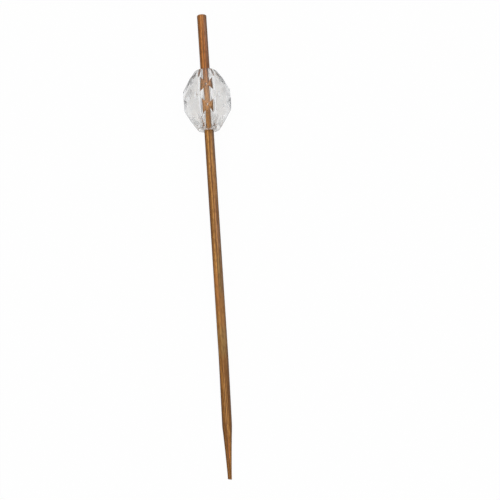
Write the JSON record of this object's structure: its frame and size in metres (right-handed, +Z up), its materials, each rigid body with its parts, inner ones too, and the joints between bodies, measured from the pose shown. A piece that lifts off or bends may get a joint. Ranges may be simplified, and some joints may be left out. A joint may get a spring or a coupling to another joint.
{
  "type": "cocktail pick",
  "caption": "Blunt-pointed bamboo cocktail pick with a clear faceted oval bead near its head, lying on its side.",
  "frame": {"origin": "middle of the footprint of the lying pick, at the height of the table that it lies on", "axes": "+Y along the pick towards its head, +Z up, +X across it; the tip points to -Y"},
  "size_m": [0.0124, 0.12, 0.0125],
  "materials": {
    "stick": "bare heat-darkened bamboo, fine grain",
    "bead": "clear polished acrylic"
  },
  "bodies": {
    "root": {"stick": "stick", "bead": "bead"}
  },
  "joints": []
}
